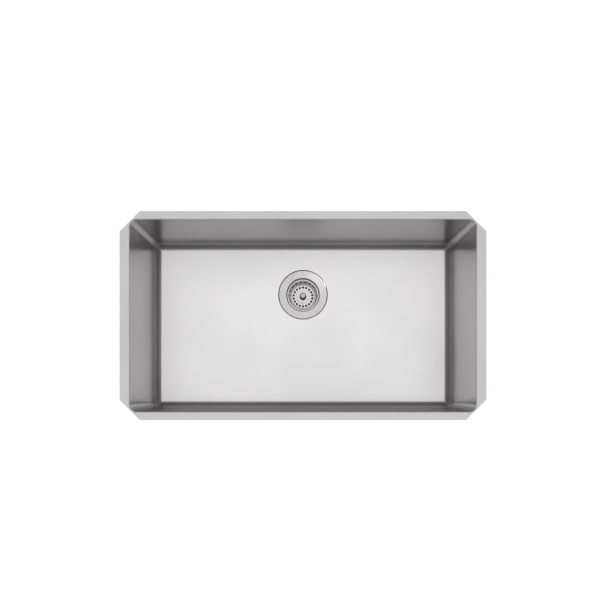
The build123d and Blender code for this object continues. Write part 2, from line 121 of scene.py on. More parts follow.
# Each sign is defined twice: once for a wire to its left, and once for a plain number there.
for sign, operation in (("add", "ADD"), ("sub", "SUBTRACT"), ("mul", "MULTIPLY"), ("truediv", "DIVIDE")):
    setattr(Wire, f"__{sign}__", lambda wire, other, kind=operation: wire.board.maths(kind, wire, other))
    setattr(Wire, f"__r{sign}__", lambda wire, other, kind=operation: wire.board.maths(kind, other, wire))


class Board:
    """A node tree that nodes are laid out on."""

    def __init__(self, tree):
        self.tree = tree
        tree.nodes.clear()

    def node(self, kind, sockets=None, output=0, **settings):
        """A new node, and the wire from one of its outputs."""
        made = self.tree.nodes.new(kind)
        for name, value in settings.items():
            setattr(made, name, value)
        for name, value in (sockets or {}).items():
            if isinstance(value, Wire):
                self.tree.links.new(value.socket, made.inputs[name])
            else:
                made.inputs[name].default_value = value
        return Wire(self, made.outputs[output]) if made.outputs else None

    def maths(self, operation, *values):
        return self.node("ShaderNodeMath", dict(enumerate(values)), operation=operation)

    def vector(self, operation, *values, output=0):
        return self.node("ShaderNodeVectorMath", dict(enumerate(values)), output, operation=operation)

    def axis(self, vector, name):
        """One of a vector's three parts."""
        return self.node("ShaderNodeSeparateXYZ", {0: vector}, name)

    def place(self):
        """Where a point lies on the object, in metres."""
        return self.node("ShaderNodeTexCoord", output="Object")

    def noise(self, place, scale=1.0, detail=2.0, rough=0.5):
        sockets = {"Vector": place, "Scale": scale, "Detail": detail, "Roughness": rough}
        return self.node("ShaderNodeTexNoise", sockets)

    def between(self, value, low, high, out_low=0.0, out_high=1.0):
        """0 to 1 as value goes from low to high, with soft ends."""
        sockets = {0: value, 1: low, 2: high, 3: out_low, 4: out_high}
        return self.node("ShaderNodeMapRange", sockets, interpolation_type="SMOOTHSTEP")

    def blend(self, factor, first, second):
        """A colour between two, in linear light."""
        first, second = (shade if isinstance(shade, Wire) else (*shade, 1) for shade in (first, second))
        return self.node("ShaderNodeMix", {0: factor, 6: first, 7: second}, 2, data_type="RGBA")

    def tinted(self, shade, factor):
        """A colour made darker or lighter."""
        return self.node("ShaderNodeVectorMath", {0: shade, "Scale": factor}, operation="SCALE")

    def bump(self, height, depth):
        """A surface raised by height times depth, in mm."""
        return self.node("ShaderNodeBump", {"Height": height, "Distance": depth * mm, "Strength": 1.0})

    def surface(self, **sockets):
        """The finished Principled surface."""
        named = {name.replace("_", " "): value for name, value in sockets.items()}
        self.node("ShaderNodeOutputMaterial", {"Surface": self.node("ShaderNodeBsdfPrincipled", named)})


def finish(name):
    """A new material and the board to build it on."""
    material = bpy.data.materials.new(name)
    material.use_nodes = True
    return material, Board(material.node_tree)


# %% [markdown]
# Polished and brushed metal show what is around them, so the room matters as much as the steel.
# It could be a picture of a real studio, but a ramp over the height of each direction is enough:
# bright straight overhead, where the floor of the bowl looks, dark in a band between 20 and 33
# degrees above the ground, which the walls look at, and pale below it. The rounded foot of each
# wall mirrors all of it, and its colour is also painted darker as painted shade, which together
# give the dark lines that draw the shape of the bowl. The camera itself sees plain white.

# %% The room
CEILING_LIGHT = 1.4
ROOM_DARK = 0.09
ROOM_STOPS = (
    (0.0, 0.42), (0.26, 0.36), (0.34, ROOM_DARK), (0.55, ROOM_DARK), (0.74, 0.26), (0.89, 0.45),
    (0.955, 0.70), (1.0, 0.70),
)
room = bpy.data.worlds.new("studio")
scene.world = room
room.use_nodes = True
board = Board(room.node_tree)
height = board.axis(board.node("ShaderNodeTexCoord", output="Generated"), "Z")
shade = board.node("ShaderNodeValToRGB", {0: height})
stops = shade.socket.node.color_ramp.elements
while len(stops) < len(ROOM_STOPS):
    stops.new(0.5)
for stop, (position, tone) in zip(stops, ROOM_STOPS):
    stop.position = position
    stop.color = (tone, tone, tone, 1)
glow = board.node("ShaderNodeBackground", {"Color": shade, "Strength": CEILING_LIGHT})
backdrop = board.node("ShaderNodeBackground", {"Color": (1, 1, 1, 1), "Strength": 1.0})
seen = board.node("ShaderNodeLightPath", output="Is Camera Ray")
whole_room = board.node("ShaderNodeMixShader", {0: seen, 1: glow, 2: backdrop})
board.node("ShaderNodeOutputWorld", {"Surface": whole_room})
print("the room has", len(stops), "stops between the ground and the ceiling")

# %% [markdown]
# The room alone lights matt surfaces too flatly, so a wide round lamp straight overhead helps it
# and gives the sink its soft shadow. It could be one more bright patch of the room, but a lamp can
# be hidden from mirrored rays, and so the steel doesn't show it as a hot spot.

# %% The overhead lamp
OVERHEAD_LIGHT = 2.7
OVERHEAD_WIDTH = 14  # degrees, as seen from the sink
overhead_data = bpy.data.lights.new("overhead", "SUN")
overhead_data.energy = OVERHEAD_LIGHT
overhead_data.angle = radians(OVERHEAD_WIDTH)
overhead = placed("overhead", overhead_data)
overhead.visible_glossy = False
print("overhead lamp", OVERHEAD_LIGHT, "over", OVERHEAD_WIDTH, "degrees")

# %% [markdown]
# The sink stands on the end of its tailpiece over a pale floor. Seen by the camera, or mirrored in
# metal, the floor glows almost white of itself, and light that falls on it adds only a little, so
# its shadow is faint. To light that bounces on to the underside of the sink it is plainly matt.

# %% Floor
FLOOR_SIDE = 40.0
FLOOR_GLOW = 0.95
SHADOW_SHARE = 0.12
floor_level = cad_box[0][2]
floor_mesh = bpy.data.meshes.new("studio_floor")
far = FLOOR_SIDE / 2
corners = [(x, y, floor_level) for x, y in ((-far, -far), (far, -far), (far, far), (-far, far))]
floor_mesh.from_pydata(corners, [], [(0, 1, 2, 3)])
studio_floor = placed("studio_floor", floor_mesh)
pale, board = finish("pale_floor")
direct, mirrored, let_through = (
    board.node("ShaderNodeLightPath", output=f"Is {way} Ray") for way in ("Camera", "Glossy", "Transmission")
)
seen = (direct + mirrored + let_through).maths("MINIMUM", 1.0)
own_glow = board.node("ShaderNodeEmission", {"Color": (1, 1, 1, 1), "Strength": FLOOR_GLOW})
faint = board.node("ShaderNodeBsdfDiffuse", {"Color": (SHADOW_SHARE,) * 3 + (1,)})
glowing = board.node("ShaderNodeAddShader", {0: own_glow, 1: faint})
plain = board.node("ShaderNodeBsdfDiffuse", {"Color": (0.8, 0.8, 0.8, 1)})
mixed = board.node("ShaderNodeMixShader", {0: seen, 1: plain, 2: glowing})
board.node("ShaderNodeOutputMaterial", {"Surface": mixed})
floor_mesh.materials.append(pale)
print("floor at", round(floor_level / mm, 1), "mm")

# %% [markdown]
# Most pieces are closed skins made of rings: every ring has the same number of points, and each
# is joined to the next by four-sided faces. The bowl's rings are rounded rectangles, and a turned
# piece's rings are circles. Flat faces next to bends keep a flat shade because the corner normals
# are weighted by face area.

# %% Skins
def add_piece(mesh, material):
    """A mesh as a piece of the same name at the origin, with one material."""
    mesh.materials.clear()
    mesh.materials.append(material)
    return placed(mesh.name, mesh)


def fixed(name, draft):
    """The draft that faces were added to, as a mesh that a piece can have."""
    mesh = bpy.data.meshes.new(name)
    draft.to_mesh(mesh)
    draft.free()
    return mesh


def ring_skin(name, rings, closed_section=True):
    """A mesh of rings joined by quads. An open section is closed by a point at each end ring."""
    rings = [np.asarray(ring, float) for ring in rings]
    if not closed_section:
        rings[0], rings[-1] = [rings[0].mean(0)], [rings[-1].mean(0)]
    draft = bmesh.new()
    rows = [[draft.verts.new(point) for point in ring] for ring in rings]
    following = rows[1:] + (rows[:1] if closed_section else [])
    for lower, upper in zip(rows, following):
        for i in range(len(rows[1])):
            j = (i + 1) % len(rows[1])
            corners = [row[k % len(row)] for row, k in ((lower, i), (lower, j), (upper, j), (upper, i))]
            draft.faces.new([v for k, v in enumerate(corners) if v not in corners[:k]])
    bmesh.ops.recalc_face_normals(draft, faces=draft.faces)
    return fixed(name, draft)


# %% Bent sections
MOST_OF_A_SIDE = 0.49  # share of a straight side that one rounding may take
STRAIGHT = 1e-3  # radians of a corner that is left as it is


def left_of(way):
    """The direction at a right angle to the left of another."""
    return Vector((-way.y, way.x))


def bent_line(corners, closed=False, turn=radians(9)):
    """Points along a section whose corners are (across, up, radius), each rounded by its radius."""
    points = [Vector(c[:2]) for c in corners]
    line = []
    for k, (corner, point) in enumerate(zip(corners, points)):
        before, after = point - points[k - 1], points[(k + 1) % len(points)] - point
        arrive, leave = before.normalized(), after.normalized()
        angle = arrive.angle(leave)
        reach = min(corner[2] * np.tan(angle / 2), MOST_OF_A_SIDE * min(before.length, after.length))
        end = not closed and k in (0, len(points) - 1)
        if end or reach <= 0 or angle < STRAIGHT:
            line.append(point)
            continue
        radius = reach / np.tan(angle / 2)
        side = 1 if left_of(arrive).dot(leave) > 0 else -1
        middle = point - arrive * reach + left_of(arrive) * radius * side
        start = point - arrive * reach - middle
        steps = max(2, ceil(angle / turn))
        for step in range(steps + 1):
            swing = side * angle * step / steps
            line.append(middle + Matrix.Rotation(swing, 2) @ start)
    return line


def other_face(corners, thickness):
    """The corners of a bent sheet's other face, which lies thickness to the left of the line given."""
    points = [Vector(c[:2]) for c in corners]
    ways = [(b - a).normalized() for a, b in zip(points, points[1:])]
    moved = []
    for corner, point, arrive, leave in zip(corners, points, ways[:1] + ways, ways + ways[-1:]):
        lefts = left_of(arrive) + left_of(leave)
        gain = -thickness if left_of(arrive).dot(leave) > 0 else thickness
        radius = max(corner[2] + gain, 0) if corner[2] else 0
        moved.append((*(point + lefts * thickness * 2 / lefts.length_squared), radius))
    return moved


# %% A finished piece
def worked(piece):
    """The piece with its modifiers worked into a plain mesh."""
    depsgraph = bpy.context.evaluated_depsgraph_get()
    plain_mesh = bpy.data.meshes.new_from_object(
        piece.evaluated_get(depsgraph), preserve_all_data_layers=True, depsgraph=depsgraph
    )
    piece.modifiers.clear()
    piece.data = plain_mesh
    plain_mesh.name = piece.name
    return piece


def hand_over(piece, body, slot, *nodes):
    """Shades the piece by face area, with its creases kept, and puts it in the place of its CAD nodes."""
    piece.data.shade_smooth()
    piece.data.set_sharp_from_angle(angle=radians(50))
    piece.modifiers.new("area_normals", "WEIGHTED_NORMAL").keep_sharp = True
    worked(piece)
    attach(piece, body)
    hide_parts(*nodes)
    print(f"{piece.name}: {sum(len(p.vertices) - 2 for p in piece.data.polygons)} triangles")


# %% [markdown]
# Sizes come from the CAD nodes where they can be read off: the pads are glued to the outside of
# the sheet, so their inner faces give the walls and the floor, and the tailpiece stands on the
# drain's middle line. The others are the sizes of the real pressing.

# %% Sizes read from the frame
SHEET = 1.2 * mm
flange_x, flange_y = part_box("bowl")[1].xy
wall_x = -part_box("sound_pad_left")[1].x - SHEET
wall_y = -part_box("sound_pad_front")[1].y - SHEET
floor_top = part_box("sound_pad_bottom_left")[1].z + SHEET
tube_low, tube_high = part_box("tailpiece")
drain = Vector(((tube_low.x + tube_high.x) / 2, (tube_low.y + tube_high.y) / 2, floor_top))
print("half opening", round(wall_x / mm, 2), round(wall_y / mm, 2), "drain", [round(v / mm) for v in drain])


def from_drain(node):
    """A round node's radius, underside and top, in mm from the drain's middle on the bowl's floor."""
    low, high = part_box(node)
    return (high.x - drain.x) / mm, (low.z - drain.z) / mm, (high.z - drain.z) / mm


# %% [markdown]
# The bowl is one sheet of steel, drawn down and folded out to a flange. Its skin goes once round
# the section of the sheet: from the edge of the drain hole over the floor, up the wall and over
# the rim to the edge of the flange, and back underneath. The corners of the flange are cut at 45
# degrees, and the rings there keep the same number of points, so the faces stay regular.

# %% The rings of the bowl
CORNER_RADIUS = 15.0 * mm
FOOT_RADIUS = 20.0 * mm
RIM_RADIUS = 2.5 * mm
CUT_LAND = 3.4 * mm
SHEET_EDGE = 0.3 * mm
CUT_EDGE = 1.5 * mm
LEAST_RADIUS = 0.4 * mm
CORNER_STEPS = 13
SIDE_STEPS = (120, 64)
QUARTERS = ((1, 1), (-1, 1), (-1, -1), (1, -1))

diagonal = (flange_x - wall_x) + (flange_y - wall_y) + (2 - sqrt(2)) * CORNER_RADIUS
corner_cut = diagonal - sqrt(2) * CUT_LAND


def arc(middle, radius, start, end, steps):
    """Even points on an arc round a middle. start and end count in quarters of a turn."""
    turns = [pi / 2 * (start + (end - start) * i / steps) for i in range(steps + 1)]
    return [(middle[0] + radius * cos(t), middle[1] + radius * sin(t)) for t in turns]


def around(corners, level):
    """A ring at one level: four lists of corner points, joined by straight stretches of even steps."""
    points = []
    for k, corner in enumerate(corners):
        points.extend(corner)
        start, end = np.array(corner[-1]), np.array(corners[(k + 1) % 4][0])
        steps = SIDE_STEPS[k % 2]
        points.extend(start + (end - start) * i / steps for i in range(1, steps))
    return np.array([(x, y, level) for x, y in points])


def cut_ring(inset, level):
    """The flange's outline, drawn in by inset, with a small radius at each end of a cut."""
    radius = CUT_EDGE - inset
    half_x, half_y = flange_x - inset, flange_y - inset
    drawn_in = corner_cut - inset * (2 - sqrt(2)) + radius * (sqrt(2) - 1)
    steps = CORNER_STEPS // 2
    corners = []
    for quarter, (sx, sy) in enumerate(QUARTERS):
        ends = [
            (sx * (half_x - radius), sy * (half_y - drawn_in)),
            (sx * (half_x - drawn_in), sy * (half_y - radius)),
        ]
        first, second = ends[::-1] if quarter % 2 else ends
        half_way = quarter + 0.5
        corners.append(
            arc(first, radius, quarter, half_way, steps) + arc(second, radius, half_way, quarter + 1, steps)
        )
    return around(corners, level)


def rounded_corners(half_x, half_y, radius, steps):
    """The corners of a rectangle that reaches radius past these halves, as four lists of points."""
    return [
        arc((sx * half_x, sy * half_y), radius, quarter, quarter + 1, steps)
        for quarter, (sx, sy) in enumerate(QUARTERS)
    ]


def wall_ring(inset, level):
    """A rectangle with rounded corners, inset from the inside of the bowl's walls."""
    radius = max(CORNER_RADIUS - inset, LEAST_RADIUS)
    half_x, half_y = wall_x - inset - radius, wall_y - inset - radius
    return around(rounded_corners(half_x, half_y, radius, CORNER_STEPS), level)


def bowl_side(gap):
    """Rings from the flat floor up to the flange, on the face that lies gap outside the inner one."""
    foot = arc((FOOT_RADIUS, floor_top + FOOT_RADIUS), FOOT_RADIUS + gap, 3, 2, 14)
    rim = arc((-RIM_RADIUS, -RIM_RADIUS), RIM_RADIUS - gap, 0, 1, 7)
    return [wall_ring(*point) for point in foot + rim]


# %% The bowl's skin
DRAIN_HOLE = 44.45
RECESS_DEPTH = 2.4
RECESS_RADIUS = 57.45
RECESS_MOUTH = 58.05
RECESS_BORDER = 61.05
recess = [
    (DRAIN_HOLE, -RECESS_DEPTH, 0), (RECESS_RADIUS, -RECESS_DEPTH, 0.4),
    (RECESS_MOUTH, 0, 1.4), (RECESS_BORDER, 0, 0),
]

inner_side, outer_side = bowl_side(0.0), bowl_side(SHEET)
foot_ring = inner_side[0]
facing = np.arctan2(foot_ring[:, 1] - drain.y, foot_ring[:, 0] - drain.x)


def round_drain(radius, height, angle):
    """A point in metres, from mm out from the drain's middle line and mm above the bowl's floor."""
    return (
        drain.x + radius * mm * cos(angle), drain.y + radius * mm * sin(angle), drain.z + height * mm
    )


def drain_ring(point):
    """A circle round the drain whose points face those of the floor's outline."""
    return np.array([round_drain(*point, angle) for angle in facing])


recess_bottom = bent_line(other_face(recess, -SHEET / mm))
edge = arc((SHEET_EDGE, -SHEET_EDGE), SHEET_EDGE, 1, 2, 3)
edge += arc((SHEET_EDGE, SHEET_EDGE - SHEET), SHEET_EDGE, 2, 3, 3)
bowl_rings = (
    [drain_ring(point) for point in bent_line(recess)]
    + inner_side
    + [cut_ring(*point) for point in edge]
    + outer_side[::-1]
    + [drain_ring(point) for point in recess_bottom[::-1]]
)
print("bowl rings", len(bowl_rings), "points in each", len(foot_ring))

# %% [markdown]
# The steel is brushed after pressing: thousands of scratches run along the length of the floor and
# flat round the walls. Each is far too fine to see from a step away, but together they smear a
# reflection across their own direction, so the walls mirror each other sharply from side to side
# and softly up and down. The scratches are a noise drawn out along the brushing, read from the
# place on the object, and it raises the surface by a few thousandths of a millimetre.
#
# The walls, their rounded foot, the floor and the flange each have a finish of their own. The
# walls' colour is painted darker than the floor's, and the rounded foot's darker still: painted
# shade, on top of what they mirror. One recipe makes them all: it goes from the finish of steep
# places to that of level ones as the face turns, and it can set off the front and the back from
# the sides with a painted shade or light.

# %% Satin steel
ALONG, ACROSS = 28, 2600  # how finely the noise of the scratches is divided, per metre
BRUSH_TURNS = (0.94, 0.985)  # how level a face is where the brushing changes from the walls' to the floor's


def satin_steel(name, upright, level, smear, scratch_depth, front=(1.0, 0.0), back=(1.0, 0.0)):
    """Brushed stainless steel. upright and level are the colour, mirror share and roughness of steep
    and of level places, and smear is how much wider it blurs across the scratches than along them.
    front and back scale the colour on faces that look to the front and to the back, a painted
    shade or light, and add roughness there."""
    material, board = finish(name)
    place = board.place()
    facing = board.node("ShaderNodeNewGeometry", output="Normal")
    upward, backward = board.axis(facing, "Z"), board.axis(facing, "Y")
    in_front, behind = board.between(backward, 0, 1), board.between(backward, 0, -1)
    steepness = upward.maths("ABSOLUTE")
    flat = board.between(steepness, *BEND_TURNS)
    on_walls = board.noise(board.vector("MULTIPLY", place, (ALONG, ALONG, ACROSS)), detail=3, rough=0.6)
    on_floor = board.noise(board.vector("MULTIPLY", place, (ALONG, ACROSS, ALONG)), detail=3, rough=0.6)
    scratches = on_walls + board.between(steepness, *BRUSH_TURNS) * (on_floor - on_walls)
    cloud = board.noise(place, scale=5, detail=3)
    tone = cloud * 0.6 + scratches * 0.4
    steep_colour, steep_mirror, steep_roughness = upright
    flat_colour, flat_mirror, flat_roughness = level
    # Painted shade and light: the colour is scaled on faces that look to the front or the back.
    painted_shade_and_light = 1 + (front[0] - 1) * in_front + (back[0] - 1) * behind
    whole = board.tinted(board.blend(flat, steep_colour, flat_colour), painted_shade_and_light)
    dark, light = board.tinted(whole, 0.95), board.tinted(whole, 1.05)
    board.surface(
        Base_Color=board.blend(board.between(tone, 0.35, 0.65), dark, light),
        Metallic=steep_mirror + flat * (flat_mirror - steep_mirror),
        Roughness=steep_roughness + flat * (flat_roughness - steep_roughness)
        + front[1] * in_front + back[1] * behind + 0.05 * (cloud - 0.5) + 0.06 * (scratches - 0.5),
        Anisotropic=smear,
        Anisotropic_Rotation=0.25,
        Normal=board.bump(scratches, scratch_depth),
    )
    return material


def grey(tone, warmth=1.0):
    """The grey of stainless steel, a trace redder than green and blue."""
    return (tone * (1 + 0.008 * warmth), tone * (1 - 0.006 * warmth), tone * (1 - 0.002 * warmth))


BEND_TURNS = (0.925, 0.9991)  # how level a face is where the bend's finish ends and the floor's begins
# Painted shade: the walls' colour is darker than the floor's, and the rounded foot's darker still.
WALL = (grey(0.565, 2.3), 1.0, 0.30)
BEND = (grey(0.415, 2.3), 1.0, 0.50)
FLOOR = (grey(0.655), 0.20, 0.30)
FLANGE = (grey(0.63, 1.5), 0.6, 0.45)
# Painted shade and light: the front and back walls are darker, the foot at the front and back lighter.
FRONT_WALL, BACK_WALL = (0.62, 0.30), (0.77, 0.0)
FRONT_BEND, BACK_BEND = (1.2, 0.0), (1.05, 0.0)
wall_steel = satin_steel("brushed_wall_steel", WALL, WALL, 0.8, 0.004, FRONT_WALL, BACK_WALL)
floor_steel = satin_steel("brushed_floor_steel", BEND, FLOOR, 0.0, 0.0015, FRONT_BEND, BACK_BEND)
flange_steel = satin_steel("flange_steel", FLANGE, FLANGE, 0.0, 0.006)
print("each steel has", len(wall_steel.node_tree.nodes), "nodes")

# %% The bowl, finished
FLOOR_STEEL, FLANGE_STEEL = 1, 2  # places of these steels on the piece, after the walls' own
RIM_LEVEL = 0.5  # a face of the rim that is more level than this has the flange's finish
WALL_LEVEL = 0.02  # a face below the rim that is more level than this belongs to the bend or the floor
pressed_bowl = add_piece(ring_skin("pressed_bowl", bowl_rings), wall_steel)
for steel in (floor_steel, flange_steel):
    pressed_bowl.data.materials.append(steel)
in_hollow = Vector((0, 0, cad_box[0][2] / 4))
for face in pressed_bowl.data.polygons:
    steepness = abs(face.normal.z)
    high = face.center.z > -2 * RIM_RADIUS
    outside = face.normal.dot(in_hollow - face.center) < 0
    if outside or high and steepness > RIM_LEVEL:
        face.material_index = FLANGE_STEEL
    elif steepness > WALL_LEVEL and not high:
        face.material_index = FLOOR_STEEL
hand_over(pressed_bowl, "root", "bowl_steel", "bowl")

# %% [markdown]
# Some shapes follow a rule: one sector of a perforated sheet is repeated all round, and a thread is
# a wave that climbs as it turns. Geometry Nodes hold such a rule in a tree with named inputs, so
# one tree repeats both the basket and the spider, and the other cuts both threads. A tree could
# also be drawn by hand in the editor, but built here it stays with its numbers.

# %% Geometry Nodes trees
def rule_tree(name, **inputs):
    """A Geometry Nodes tree with named inputs. Gives its board and the wires that bring the inputs."""
    tree = bpy.data.node_groups.new(name, "GeometryNodeTree")
    tree.interface.new_socket("Geometry", in_out="OUTPUT", socket_type="NodeSocketGeometry")
    for label, kind in {"Geometry": "Geometry", **inputs, "Material": "Material"}.items():
        tree.interface.new_socket(label, in_out="INPUT", socket_type="NodeSocket" + kind)
    board = Board(tree)
    source = tree.nodes.new("NodeGroupInput")
    return board, {socket.name: Wire(board, socket) for socket in source.outputs if socket.name}


def end_rule(board, geometry, material):
    """The last steps of a tree: real faces, joined where they meet, with a material."""
    real = board.node("GeometryNodeRealizeInstances", {0: geometry})
    whole = board.node("GeometryNodeMergeByDistance", {"Geometry": real, "Distance": 0.002 * mm})
    dressed = board.node("GeometryNodeSetMaterial", {"Geometry": whole, "Material": material})
    board.node("NodeGroupOutput", {0: dressed})
    print("tree", board.tree.name, "has", len(board.tree.nodes), "nodes")


def follow_rule(piece, board, **values):
    """Runs a tree on the piece and keeps the outcome as its mesh."""
    rule = piece.modifiers.new(board.tree.name, "NODES")
    rule.node_group = board.tree
    for item in board.tree.interface.items_tree:
        if item.in_out == "INPUT" and item.name in values:
            rule[item.identifier] = values[item.name]
    return worked(piece)


# %% Repeated round the middle
polar_array, given = rule_tree("polar_array", Count="Int", Centre="Vector")
count, centre = given["Count"], given["Centre"]
angle = 2 * pi / count * polar_array.node("GeometryNodeInputIndex")
spin = polar_array.node("ShaderNodeCombineXYZ", {"Z": angle})
back = polar_array.vector("MULTIPLY", centre, (-1, -1, -1))
sector = polar_array.node("GeometryNodeTransform", {"Geometry": given["Geometry"], "Translation": back})
one_spot = {"Count": count, "Start Location": centre, "Offset": (0, 0, 0)}
spots = polar_array.node("GeometryNodeMeshLine", one_spot)
copies = {"Points": spots, "Instance": sector, "Rotation": spin}
end_rule(polar_array, polar_array.node("GeometryNodeInstanceOnPoints", copies), given["Material"])

# %% A thread raised from a plain wall
rolled_thread, given = rule_tree("rolled_thread", Centre="Vector", **dict.fromkeys(
    ("Pitch", "Depth", "Bottom", "Top", "Bore"), "Float"))
pitch, bottom, top = given["Pitch"], given["Bottom"], given["Top"]
arm = rolled_thread.vector("SUBTRACT", rolled_thread.node("GeometryNodeInputPosition"), given["Centre"])
x, y, z = (rolled_thread.axis(arm, name) for name in "XYZ")
reach = (x * x + y * y).maths("SQRT")
climb = 2 * pi * z / pitch - y.maths("ARCTAN2", x)
crest = climb.maths("COSINE") * 0.5 + 0.5
fade_in = rolled_thread.between(z, bottom, bottom + pitch)
fade_out = rolled_thread.between(z, top - pitch, top, 1.0, 0.0)
outside = reach.maths("GREATER_THAN", given["Bore"])
rise = given["Depth"] * crest * fade_in * fade_out * outside / reach
along = rolled_thread.node("ShaderNodeCombineXYZ", {"X": x * rise, "Y": y * rise})
raised = {"Geometry": given["Geometry"], "Offset": along}
end_rule(rolled_thread, rolled_thread.node("GeometryNodeSetPosition", raised), given["Material"])

# %% [markdown]
# The strainer is spun from a sheet of its own and polished on a lathe, which leaves fine rings
# round its middle. On a long tube they also smear a reflection. The rings are a noise read from
# the distance to the drain's middle line and the height, so they follow every bend of the section.

# %% Turned metal
def turned_metal(name, colour, roughness, ring_depth, smear=0.0, marks=1900, mirror=1.0):
    """Metal finished on a lathe, with rings round the drain's middle line."""
    material, board = finish(name)
    place = board.place()
    arm = board.vector("SUBTRACT", place, tuple(drain))
    radius = board.vector("LENGTH", board.vector("MULTIPLY", arm, (1, 1, 0)), output="Value")
    section = board.node("ShaderNodeCombineXYZ", {"X": radius * marks, "Z": board.axis(arm, "Z") * marks})
    rings = board.noise(section, detail=3, rough=0.6)
    cloud = board.noise(place, scale=30, detail=3)
    tone = cloud * 0.6 + rings * 0.4
    dark = tuple(c * 0.93 for c in colour)
    light = tuple(min(1, c * 1.05) for c in colour)
    board.surface(
        Base_Color=board.blend(board.between(tone, 0.35, 0.65), dark, light),
        Metallic=mirror,
        Roughness=roughness + 0.06 * (cloud - 0.5) + 0.06 * (rings - 0.5),
        Anisotropic=smear,
        Anisotropic_Rotation=0.25,
        Normal=board.bump(rings, ring_depth),
    )
    print("turned:", name)
    return material


strainer_steel = turned_metal("spun_strainer_steel", grey(0.58), 0.26, 0.0001, mirror=0.7)
# Painted shade: a near-black steel for the inside of the cup.
cup_shade_steel = turned_metal("cup_painted_shade_steel", grey(0.08), 0.40, 0.004)
basket_steel = turned_metal("drawn_basket_steel", grey(0.62), 0.22, 0.0003, mirror=0.5)
# Painted highlight: a near-white, mostly matt steel for the basket's rolled bead.
bead_highlight_steel = turned_metal("bead_painted_highlight_steel", grey(0.92), 0.30, 0.0003, mirror=0.25)
knob_steel = turned_metal("polished_knob_steel", grey(0.52), 0.08, 0.0004, marks=2600)
# Painted shade: a near-black steel for the knob's flank and collar.
knob_shade_steel = turned_metal("knob_painted_shade_steel", grey(0.04), 0.30, 0.0004, marks=2600)
small_steel = turned_metal("bright_small_steel", (0.60, 0.595, 0.585), 0.28, 0.003)
plated_tube = turned_metal("plated_tube", (0.55, 0.555, 0.56), 0.12, 0.0008, smear=0.3)
plated_nut = turned_metal("plated_nut", (0.56, 0.565, 0.57), 0.16, 0.0015, marks=900)

# %% [markdown]
# Below the floor the drain is made of quite other stuff: cast brass, rubber, pressed fibre card and
# a clear-white plastic. None is smooth: brass keeps the grain of the sand it was cast in, rubber
# has a faint orange peel, and card shows its fibres.

# %% Brass, rubber, card and plastic
def grained(name, dark, light, roughness, grain, depth, metallic=0.0, **constants):
    """A cast or moulded stuff: a cloudy colour, and a grain with its size and depth in mm."""
    material, board = finish(name)
    place = board.place()
    cloud = board.noise(place, scale=45, detail=4, rough=0.6)
    grains = board.noise(place, scale=1 / (grain * mm), detail=2)
    tone = cloud * 0.65 + grains * 0.35
    board.surface(
        Base_Color=board.blend(board.between(tone, 0.36, 0.64), dark, light),
        Metallic=metallic,
        Roughness=roughness + 0.08 * (grains - 0.5) + 0.08 * (cloud - 0.5),
        Normal=board.bump(grains, depth),
        **constants,
    )
    print("cast or moulded:", name)
    return material


cast_brass = grained("cast_brass", (0.42, 0.30, 0.12), (0.66, 0.50, 0.24), 0.36, 0.9, 0.05, metallic=1.0)
pad_rubber = grained("pad_rubber", (0.022, 0.022, 0.023), (0.045, 0.045, 0.046), 0.62, 0.8, 0.10)
gasket_rubber = grained("gasket_rubber", (0.016, 0.016, 0.017), (0.035, 0.035, 0.036), 0.50, 0.4, 0.02)
stopper_rubber = grained(
    "stopper_rubber", (0.008, 0.008, 0.008), (0.018, 0.018, 0.019), 0.65, 0.3, 0.012, Specular_IOR_Level=0.0
)
seal_rubber = grained("seal_rubber", (0.62, 0.61, 0.58), (0.72, 0.71, 0.68), 0.50, 0.5, 0.02)
washer_plastic = grained(
    "washer_plastic", (0.80, 0.80, 0.78), (0.88, 0.88, 0.86), 0.38, 0.6, 0.008, Subsurface_Weight=0.15
)
friction_card = grained("friction_card", (0.44, 0.34, 0.22), (0.68, 0.58, 0.43), 0.75, 0.25, 0.03)

# %% [markdown]
# The strainer's body is a single spun sheet, so its section is one line with the sheet's
# thickness: over the flange, round the lip, down the cup and in across the seat. The locknut runs
# on a thread rolled into the cup's wall, so the outside of that wall has a ring of points about
# every third of a millimetre for the thread to be raised from. The flange is polished, and the
# inside of the cup is painted near black as painted shade.

# %% Spun sheet
def sheet_section(corners, thickness):
    """Both faces of a bent sheet: the line given, and back along the one to its left."""
    return bent_line(corners) + bent_line(other_face(corners, thickness))[::-1]


def turned(name, line, segments=96, closed=True):
    """A mesh turned round the drain's middle line from a section in mm."""
    angles = np.linspace(0, 2 * pi, segments, endpoint=False)
    return ring_skin(name, [[round_drain(*point, a) for a in angles] for point in line], closed)


def threaded(line, radius, spacing=0.3):
    """The section line with even points added on its straight upright run at this radius."""
    fine = []
    for a, b in zip(line, line[1:] + line[:1]):
        fine.append(a)
        if abs(a[0] - radius) < 0.01 and abs(b[0] - radius) < 0.01 and abs(a[1] - b[1]) > 2:
            steps = ceil(abs(b[1] - a[1]) / spacing)
            fine.extend((radius, a[1] + (b[1] - a[1]) * i / steps) for i in range(1, steps))
    return fine


